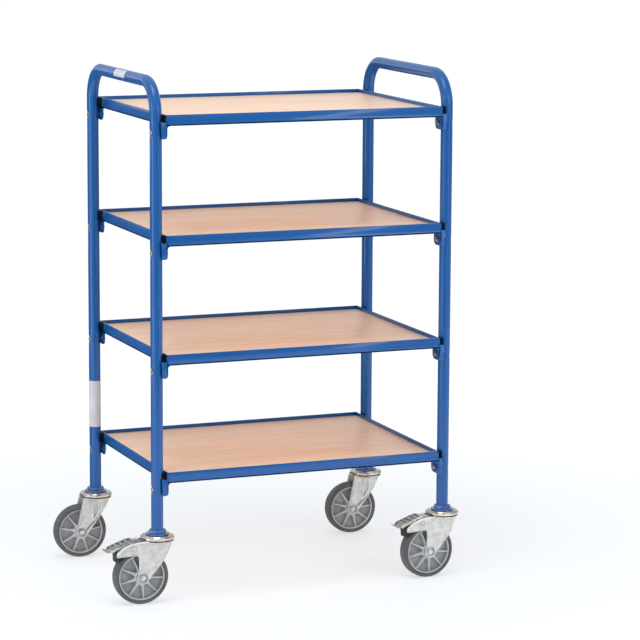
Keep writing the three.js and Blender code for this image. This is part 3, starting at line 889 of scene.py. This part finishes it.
def caster_cap():
    """The swivel's top plate with its turned-down edge, and the hollow rivet through the crown."""
    top, radius = PLATE_TOP, TOP_PLATE_RADIUS
    return turned(rounded([
        (6.5, top, 0), (TOP_PLATE_FLAT, top, 1.2), (TOP_PLATE_FLAT + 2.4, top - 2.4, 0.6),
        (radius - 4.4, top - 2.6, 0.8), (radius - 2.6, top - 1.4, 1.2), (radius, top - 3.6, 2.0),
        (radius, top - 8.4, 2.0), (radius - 2.6, top - 9, 0.8), (radius - 3.6, top - 5.2, 0.8),
        (TOP_PLATE_FLAT - 2, top - 3.3, 2), (RIVET_RADIUS, top - 3.3, 0.5),
        (RIVET_RADIUS, SWIVEL_BASE + 2.7, 1), (17, SWIVEL_BASE + 2.7, 1), (17, SWIVEL_BASE, 1),
        (6.5, SWIVEL_BASE, 0.8),
    ], 5), 96)


def crown():
    """The fork's crown with its rounded rim."""
    top, base = PLATE_TOP - 4.2, PLATE_TOP - 15.4
    rim_top = PLATE_TOP - 10.8
    return turned(rounded([
        (RIVET_RADIUS + 0.5, top, 0.3), (RIVET_RADIUS + 0.5, base, 0.3), (CROWN_RADIUS - 2.5, base, 1.5),
        (CROWN_RADIUS, rim_top - 3.0, 1.6), (CROWN_RADIUS, rim_top, 1.6),
        (CROWN_RADIUS - 4, rim_top, 0.8), (25, top, 1.5),
    ], 5), 96)


def fork_end():
    """The round end of a fork plate about the axle, from its back edge to its front edge."""
    return arc(AXLE, AXLE_EYE, 190, 322, 16)


def plain_outline():
    """The side view of a plain fork plate."""
    top = PLATE_TOP - 10
    return [Vector((-35, top)), *fork_end(), *rounded([
        (-18, 55, 0), (6, 101, 60), (30.5, 138, 6), (30.5, top, 0)], 10)[1:]]


def braked_outline():
    """The side view of a fork plate with the arm of the brake pedal."""
    top = PLATE_TOP - 9
    end = [(point.x, point.y, 0) for point in fork_end()]
    corners = [
        (-99.3, 122.6, 4), (-100, 112.3, 2.5), (-48.5, 115.5, 9), (-48.5, 80, 60),
        *end,
        (5, 94, 50), (27, 132, 16), (31, top, 0),
        (-26, top - 2, 0), (-46, 143.2, 30), (-66, 140.2, 40), (-83, 133.6, 40), (-95, 125.0, 10),
    ]
    return rounded(corners)


def bend_front(shape, start, end, sharpness, round_off):
    """Bends the front of a near fork plate inwards, ahead of a crease that runs up from start to end."""
    along = Vector(end) - Vector(start)
    across = Vector((along.y, 0, -along.x)).normalized()
    foot = Vector((start[0], 0, start[1]))
    cuts = [(foot + Vector((offset, 0, 0)), across) for offset in CREASE_CUTS]
    cuts += [((0, 0, height), (0, 0, 1)) for height in CREASE_LEVELS]
    for point, normal in cuts:
        bmesh.ops.bisect_plane(shape, geom=[*shape.verts, *shape.edges, *shape.faces], dist=0.001,
                               plane_co=point, plane_no=normal)
    for vert in shape.verts:
        ahead = max(0.0, (vert.co - foot).dot(across))
        bend = sharpness * ahead + round_off * ahead * ahead
        vert.co.y += bend * smooth_step(*CREASE_FADE, vert.co.z)
    bmesh.ops.triangulate(shape, faces=[face for face in shape.faces if len(face.verts) > 4])


def press_axle_seat(shape):
    """Presses the round seat of the axle bolt into a near fork plate."""
    for vert in shape.verts:
        off = (Vector((vert.co.x, vert.co.z)) - AXLE).length
        vert.co.y += AXLE_SEAT_DEPTH * (1 - smooth_step(*AXLE_SEAT_WALL, off))


def sink_face(shape, border, depth):
    """Sinks the near face of a plate within a border, which stays raised as its rolled edge; all other
    faces take the second material, the painted edge highlight.
    """
    shape.normal_update()
    faces = [face for face in shape.faces if face.normal.y < -0.99]
    for face in set(shape.faces) - set(faces):
        # The second material is the near-white painted highlight of the edges
        face.material_index = 1
    for step in (0, depth):
        bmesh.ops.inset_region(shape, faces=faces, thickness=border / 2, depth=-step, use_boundary=True,
                               use_even_offset=True)


def fork_plate(outline, crease):
    """The near plate of a fork, at -Y, with its pressed axle seat and its front bent inwards."""
    rings = [arc(AXLE, radius, 0, 360, 40)[:-1] for radius in AXLE_SEAT_RADII]
    body = plate(outline, -FORK_FACE, -FORK_INSIDE, holes=[rings[0]], edge=0.8)
    sink_face(body, 1.6, 0.7)
    bend_front(body, *crease)
    seat = joined(*(plate(outer, -FORK_FACE, -FORK_INSIDE, holes=[inner], edge=0)
                    for outer, inner in zip(rings, rings[1:])))
    press_axle_seat(seat)
    return joined(body, seat)


def pressed_rib():
    """The raised rib on a plain fork plate: two long flanks that meet towards the axle."""
    top = PLATE_TOP - 16
    outline = rounded([(-15, top, 5), (-15, 112, 6), (-13, 84, 2.5), (1.5, 112, 6), (1.5, top, 5)], 5)
    shape = plate(outline, -FORK_FACE - 2.4, -FORK_FACE + 1.4, edge=1.1)
    sink_face(shape, 2.2, 2.8)
    return shape


def arm_flange():
    """The folded upper edge of a pedal arm."""
    line = rounded([
        (-26, 145.2, 0), (-46, 144.6, 30), (-66, 141.6, 40), (-84, 134.8, 40), (-97, 125.0, 6),
        (-99.6, 119, 0),
    ])
    shape = plate(folded(line, 2.8), -FORK_FACE - 1.6, -17.6, edge=1.2)
    for face in shape.faces:
        # The whole folded flange takes the painted edge highlight
        face.material_index = 1
    return shape


def fork(braked):
    """The two plates of a fork, about its swivel axis."""
    if braked:
        near = joined(fork_plate(braked_outline(), BRAKED_CREASE), arm_flange())
    else:
        near = joined(fork_plate(plain_outline(), PLAIN_CREASE), pressed_rib())
    far = moved(near.copy(), Matrix.Diagonal((1, -1, 1, 1)))
    return joined(near, far)


def axle_bolt():
    """An axle bolt about the axle: low rounded flange head at the front, nut and thread at the back."""
    seat = FORK_FACE - AXLE_BOLT_SINK
    head = turned(rounded([
        (0, seat, 0), (8.4, seat, 0), (8.4, seat + 0.8, 0.4), (6.6, seat + 1.2, 0.5),
        (5.8, seat + 5.4, 2.4), (0, seat + 5.4, 0),
    ], 5), 48)
    washer = turned(rounded([
        (0, seat, 0), (8.8, seat, 0), (8.8, seat + 1.4, 0.5), (0, seat + 1.4, 0),
    ], 3), 48)
    nut = hexagon(15, seat + 1.2, seat + 8.4, 1)
    thread = threaded(5, seat + 7.4, seat + 12.2)
    rear = moved(joined(washer, nut, thread), Matrix.Rotation(-math.pi / 2, 4, "X"))
    return joined(moved(head, ALONG_Y), rear)


# Wheels, about the axle along Y

def both_sides(profile):
    """A wheel's outline from the one half of its profile: corners (radius, place, rounding)."""
    return profile + [(radius, -place, size) for radius, place, size in reversed(profile)]


def wheel_web():
    """The hub, the thin web and the rim's well."""
    outer = WHEEL_RADIUS - TREAD_DEPTH - 0.3
    inner = outer - 4.0
    hub, web, ring = HUB_WIDTH / 2, 3, RIM_WIDTH / 2
    shape = turned(rounded(both_sides([
        (8.3, -hub, 0.5), (HUB_RADIUS - 1.5, -hub, 1.2), (HUB_RADIUS, -web - 1, 2.5),
        (inner - 1, -web, 3), (inner, 1.2 - ring, 0.4), (outer - 1.4, 1.2 - ring, 0), (outer, 2 - ring, 0),
    ]), 5), 96)
    return moved(shape, ALONG_Y)


def wheel_ribs():
    """The rim's edges, the hub's collars and the tapering spokes, on both sides of the web, in the lighter
    plastic of a painted highlight.
    """
    outer = WHEEL_RADIUS - TREAD_DEPTH - 0.3
    inner = outer - 3.4
    ring = RIM_WIDTH / 2
    edge = [(inner, ring - 2.4, 0.5), (outer, ring - 2.4, 0.5), (outer, ring, 0.7), (inner + 1, ring, 0.7)]
    hub, bore = HUB_WIDTH / 2, HUB_RADIUS - 3
    collar = [
        (bore, hub - 3, 0.4), (HUB_RADIUS + 0.6, hub - 3, 0.4), (HUB_RADIUS + 0.2, hub + 0.2, 0.9),
        (bore, hub + 0.2, 0.6),
    ]
    rings = []
    for sign in (-1, 1):
        for line in (edge, collar):
            profile = [(radius, sign * place, size) for radius, place, size in line]
            rings.append(turned(rounded(profile, 4), 96))
    root, flare, tip = HUB_RADIUS - 1.5, HUB_RADIUS + 7, inner + 1
    spoke = plate(rounded([
        (root, -4.6, 0), (flare, -1.9, 14), (tip, -1.2, 0), (tip, 1.2, 0), (flare, 1.9, 14), (root, 4.6, 0),
    ], 4), -SPOKE_HALF, SPOKE_HALF, edge=0.6)
    taper(spoke, root, tip, SPOKE_ROOT_HALF / SPOKE_HALF, SPOKE_TIP_HALF / SPOKE_HALF)
    spokes = []
    for number in range(SPOKES):
        turn = Matrix.Rotation(math.tau * number / SPOKES + FIRST_SPOKE, 4, "Y")
        spokes.append(moved(spoke.copy(), turn))
    return joined(moved(joined(*rings), ALONG_Y), *spokes)


def taper(shape, root, tip, root_scale, tip_scale):
    """Scales a spoke's depth along Y from its root to its tip."""
    for vert in shape.verts:
        share = (vert.co.x - root) / (tip - root)
        vert.co.y *= root_scale + (tip_scale - root_scale) * share


def tyre():
    """The tyre: a slightly crowned tread with round shoulders."""
    half, radius = TYRE_WIDTH / 2, WHEEL_RADIUS
    bore = radius - TREAD_DEPTH
    return moved(turned(rounded(both_sides([
        (bore, half - 2.4, 0), (bore + 1.0, half - 0.4, 0.5), (bore + 2.6, half, 0.6),
        (radius - 4, half - 0.2, 3), (radius - 0.7, half - 4.6, 3.2), (radius, half - 9, 6),
    ])), 128), ALONG_Y)


# Brakes, about the caster's swivel axis

PEDAL_LINE = [(-42.9, 146.4, 0), (-66, 145, 30), (-84, 139, 20), (-107, 130.9, 14), (-117, 125.5, 3),
              (-122.2, 127.4, 0)]
PEDAL_HALF = 17
PEDAL_SHEET = 2.2
PEDAL_RIDGE_HALF = 13.2
SHOE_HALF = 13
SHOE_LIFT = 8
PEDAL_RIDGES = [(-61.5, 4.4, 3.4), (-73.5, 4.4, 3.6), (-85.5, 4.4, 3.6), (-96, 4.0, 2.8),
                (-105.6, 2.6, 2.6)]


def pedal_ridge(place, width, height):
    """A ridge pressed up across the pedal's tread, at a place on X, with steep sides and a rounded top."""
    stretches = zip(PEDAL_LINE, PEDAL_LINE[1:])
    start, end = next((Vector(a[:2]), Vector(b[:2])) for a, b in stretches if b[0] <= place <= a[0])
    spot = start.lerp(end, (start.x - place) / (start.x - end.x))
    half = width / 2
    foot = half + 0.8
    outline = rounded([(-foot, -1, 0), (foot, -1, 0), (half, height, 1.3), (-half, height, 1.3)], 5)
    slope = math.atan2(start.y - end.y, start.x - end.x)
    ridge = plate(outline, -PEDAL_RIDGE_HALF, PEDAL_RIDGE_HALF, edge=0.9)
    return moved(ridge, Matrix.Translation((spot.x, 0, spot.y)) @ Matrix.Rotation(-slope, 4, "Y"))


def brake_pedal():
    """A brake pedal: a folded plate with pressed ridges, side skirts and the two cheeks on its pin."""
    line = rounded(PEDAL_LINE, 5)
    tread = plate(folded(line, PEDAL_SHEET), -PEDAL_HALF, PEDAL_HALF, edge=0.8)
    ridges = [pedal_ridge(*ridge) for ridge in PEDAL_RIDGES]
    skirt_line = rounded([(-60, 144.6, 0), *PEDAL_LINE[1:4], (-114, 127.2, 0)], 5)
    cheek = rounded([
        (PIVOT.x - 15, PIVOT.y + 10, 2), (PIVOT.x - 8, PIVOT.y - 9, 6), (PIVOT.x + 8, PIVOT.y - 9, 6),
        (PIVOT.x + 15, PIVOT.y + 12, 2),
    ])
    pin_hole = arc(PIVOT, 3.3, 0, 360, 20)[:-1]
    sides = []
    for sign in (-1, 1):
        faces = sorted((sign * PEDAL_HALF, sign * (PEDAL_HALF - 2)))
        wall = [point + Vector((0, PEDAL_SHEET)) for point in folded(skirt_line, 7.6)]
        sides.append(plate(wall, *faces, edge=0.7))
        sides.append(plate(cheek, *faces, holes=[pin_hole], edge=0.5))
    return joined(tread, *ridges, *sides)


def brake_shoe():
    """The block under the pedal, its face curved to the tyre."""
    face = arc(AXLE, WHEEL_RADIUS + SHOE_LIFT, 131, 148, 10)
    outline = [*face, Vector((-101.0, 130.0)), Vector((-86.5, 135.4))]
    return plate(outline, -SHOE_HALF, SHOE_HALF, edge=0.8)


def pedal_pin():
    """The pin through the arms and the pedal, about its own axis along Y."""
    face = FORK_FACE + 0.6
    half = turned(rounded([
        (0, face + 2.2, 0), (3.2, face + 2.2, 1.4), (5, face, 0), (3, face, 0), (3, 0, 0), (0, 0, 0),
    ], 4), 32)
    other = moved(half.copy(), Matrix.Diagonal((1, 1, -1, 1)))
    return moved(joined(half, other), ALONG_Y)


def make_casters():
    """The four casters, the front pair with brakes."""
    cap, top, bolt = caster_cap(), crown(), axle_bolt()
    web, ribs, rubber = wheel_web(), wheel_ribs(), tyre()
    forks = {"front": fork(True), "back": fork(False)}
    for corner in CORNERS:
        row, side = corner.split("_")
        about, axle, rolled = caster_place(corner), axle_place(corner), wheel_place(corner)
        moving, wheel, pedal = f"fork_{corner}", f"wheel_{corner}", f"pedal_{side}"
        make_set(corner, [
            ("swivel_cap", cap, about, "trolley", "zinc", CAP_ZINC, "caster_head"),
            ("crown", top, about, moving, "zinc", CAP_ZINC, "caster_fork"),
            # The fork's second material is the painted highlight on its edges
            ("fork", forks[row], about, moving, "zinc", (ZINC, EDGE_HIGHLIGHT_ZINC), "caster_fork"),
            ("axle", bolt, axle, moving, "zinc", STEEL, "axle_bolt"),
            ("wheel_web", web, rolled, wheel, "rim", SHADED_WEB_PLASTIC, "wheel_rim"),
            ("wheel_ribs", ribs, rolled, wheel, "rim", HIGHLIGHTED_RIB_PLASTIC, "wheel_rim"),
            ("tyre_tread", rubber, axle, wheel, "tyre", RUBBER, "tyre"),
        ])
        if row == "front":
            pivot = put(joint_place(f"brake_{side}"), swivel_turn(corner))
            make_set(side, [
                ("foot_pedal", brake_pedal(), about, pedal, "zinc", PEDAL_ZINC, "brake_pedal"),
                ("shoe", brake_shoe(), about, pedal, "shoe", SHOE_RUBBER, "brake_shoe"),
                ("pin", pedal_pin(), pivot, moving, "zinc", STEEL, "pedal_pin"),
            ])


# Blank film plates on the tubes

# Each with the angle that it wraps in degrees and its length, and where its middle lies
LEG_FILM = (190, 110)
LEG_FILM_RISE = 71
LEG_FILM_TURN = math.radians(-112)
HANDLE_FILM = (80, 76)
HANDLE_FILM_Y = -12
HANDLE_FILM_TURN = math.radians(206)


def film(sweep, length):
    """A thin film round a tube along Z: its angle in degrees and its length."""
    shape = bmesh.new()
    radius = TUBE_RADIUS + 0.12
    verts = [shape.verts.new((radius, 0, height)) for height in (-length / 2, length / 2)]
    edge = shape.edges.new(verts)
    bmesh.ops.spin(shape, geom=[*verts, edge], cent=(0, 0, 0), axis=(0, 0, 1),
                   angle=math.radians(sweep), steps=28)
    moved(shape, Matrix.Rotation(math.radians(-sweep / 2), 4, "Z"))
    bmesh.ops.solidify(shape, geom=list(shape.faces), thickness=0.1)
    bmesh.ops.recalc_face_normals(shape, faces=shape.faces)
    return shape


def make_films():
    """The film on the back left leg and the one on the left handle bar."""
    leg = LEGS["back_left"]
    place = put((leg.x, leg.y, RIM_TOPS[0] + LEG_FILM_RISE), LEG_FILM_TURN)
    make_piece("leg_film", film(*LEG_FILM), place, "trolley", FILM)
    bar = Matrix.Rotation(-math.pi / 2, 4, "X") @ Matrix.Rotation(HANDLE_FILM_TURN, 4, "Z")
    place = put((leg.x, HANDLE_FILM_Y, BAR_TOP - TUBE_RADIUS)) @ bar
    make_piece("handle_film", film(*HANDLE_FILM), place, "trolley", FILM)


def finish_shown_nodes():
    """Gives bright steel to the CAD nodes that still show: the mounting bolts and the hub sleeves."""
    for node in frame["nodes"].values():
        if not node.hide_render:
            node.data.materials.clear()
            node.data.materials.append(STEEL)


make_side_frames()
make_shelves()
make_casters()
make_films()
finish_shown_nodes()


# Studio

WHITE = (1, 1, 1, 1)
FLOOR_RADIUS = 70
FLOOR_PAPER = (0.42, 0.46, 0.5, 1)
FLOOR_GLOW = (0.8, 0.8, 0.8, 1)
FLOOR_DARK = (0.06, 0.06, 0.065, 1)
FLOOR_BRIGHT = (0.78, 0.78, 0.78, 1)
CAMERA_PLACE = (-2.2872, -6.154, 1.6789)
CAMERA_YAW, CAMERA_PITCH, CAMERA_ROLL = (math.radians(angle) for angle in (21.807, -9.4497, 0.3043))
CAMERA_LENS = 161.47

# Softboxes: name, place, the point they face, width and height, in metres, and power in watts
SOFTBOXES = [
    ("right_strip", (1.5, -2.3, 1.0), (0, 0, 0.6), (0.3, 2.0), 7),
    ("left_strip", (-2.7, -0.35, 1.0), (0, 0, 0.6), (0.5, 2.0), 16),
    ("left_panel", (-2.4, -2.2, 1.2), (0, 0, 0.6), (1.2, 2.0), 5),
    ("front_glint", (0.8, -2.8, 2.1), (-0.1, -0.2, 1.1), (0.3, 0.8), 11),
    ("overhead", (-0.6, -0.8, 3.2), (0, 0, 0), (1.3, 1.3), 21),
]


def white_floor(place):
    """A white floor, bright enough by itself to leave only soft shadows, and dim where metal mirrors it."""
    mirrored_there = place.node("LightPath", {}, {}, "Is Glossy Ray")
    depth = place.node("SeparateXYZ", {}, {"Vector": place}, "Y")
    close_by = depth.between(-3.2, -1.4) * (1 - depth.between(0.0, 0.7))
    mirrored = tinted(close_by, FLOOR_DARK, FLOOR_BRIGHT)
    distance = place.node("VectorMath", {"operation": "LENGTH"}, {0: place}, "Value")
    glow = tinted(distance.between(0.6, 2.2), FLOOR_GLOW, WHITE)
    return {
        "Base Color": tinted(mirrored_there, FLOOR_PAPER, mirrored),
        "Roughness": 0.9,
        "Specular IOR Level": 0.1,
        "Emission Color": tinted(mirrored_there, glow, mirrored),
        "Emission Strength": 0.7,
    }


def make_floor():
    """A round white floor."""
    shape = bmesh.new()
    bmesh.ops.create_circle(shape, cap_ends=True, segments=96, radius=FLOOR_RADIUS)
    mesh = bpy.data.meshes.new("floor")
    shape.to_mesh(mesh)
    mesh.materials.append(material("white_floor", white_floor))
    floor = add_object("floor", mesh)


def make_softbox(name, place, target, size, power):
    """A rectangular softbox that faces a point."""
    lamp = bpy.data.lights.new(name, "AREA")
    lamp.shape = "RECTANGLE"
    lamp.size, lamp.size_y = size
    lamp.energy = power
    panel = add_object(name, lamp)
    aim = (Vector(target) - Vector(place)).to_track_quat("-Z", "Y")
    panel.matrix_world = Matrix.LocRotScale(Vector(place), aim, None)
    panel.visible_camera = False


def make_sky(room, backdrop, rise):
    """Soft light: a dim patchy room, a backdrop towards +Y, brightest low down, and light from above."""
    world = bpy.data.worlds.new("studio")
    bpy.context.scene.world = world
    world.use_nodes = True
    tree = world.node_tree
    way = Value(tree, None).node("TexCoord", {}, {}, "Generated")
    depth, height = (way.node("SeparateXYZ", {}, {"Vector": way}, axis) for axis in "YZ")
    patches = way.node("TexNoise", {}, {"Vector": way, "Scale": 2.2, "Detail": 1.0}).between(0.35, 0.65)
    paper = depth.between(-0.1, 0.8) * (1 - 0.75 * height.between(0.1, 0.24))
    glow = room * (0.55 + 0.9 * patches) + backdrop * paper + rise * height.between(0.2, 1.0)
    light = way.node("Background", {}, {"Color": WHITE, "Strength": glow})
    white = way.node("Background", {}, {"Color": WHITE, "Strength": 1.05})
    seen = way.node("LightPath", {}, {}, "Is Camera Ray")
    shown = way.node("MixShader", {}, {0: seen, 1: light, 2: white})
    fill(tree.nodes["World Output"], {"Surface": shown})


def make_camera():
    """The camera at the photograph's viewing angle."""
    lens = bpy.data.cameras.new("camera")
    lens.sensor_width = 36
    lens.lens = CAMERA_LENS
    camera = add_object("camera", lens)
    aim = (Matrix.Rotation(-CAMERA_YAW, 4, "Z") @ Matrix.Rotation(math.pi / 2 + CAMERA_PITCH, 4, "X")
           @ Matrix.Rotation(CAMERA_ROLL, 4, "Z"))
    camera.matrix_world = Matrix.Translation(CAMERA_PLACE) @ aim
    bpy.context.scene.camera = camera


make_floor()
make_sky(room=0.38, backdrop=0.85, rise=0.36)
for setting in SOFTBOXES:
    make_softbox(*setting)
make_camera()
bpy.context.scene.view_settings.view_transform = "Standard"
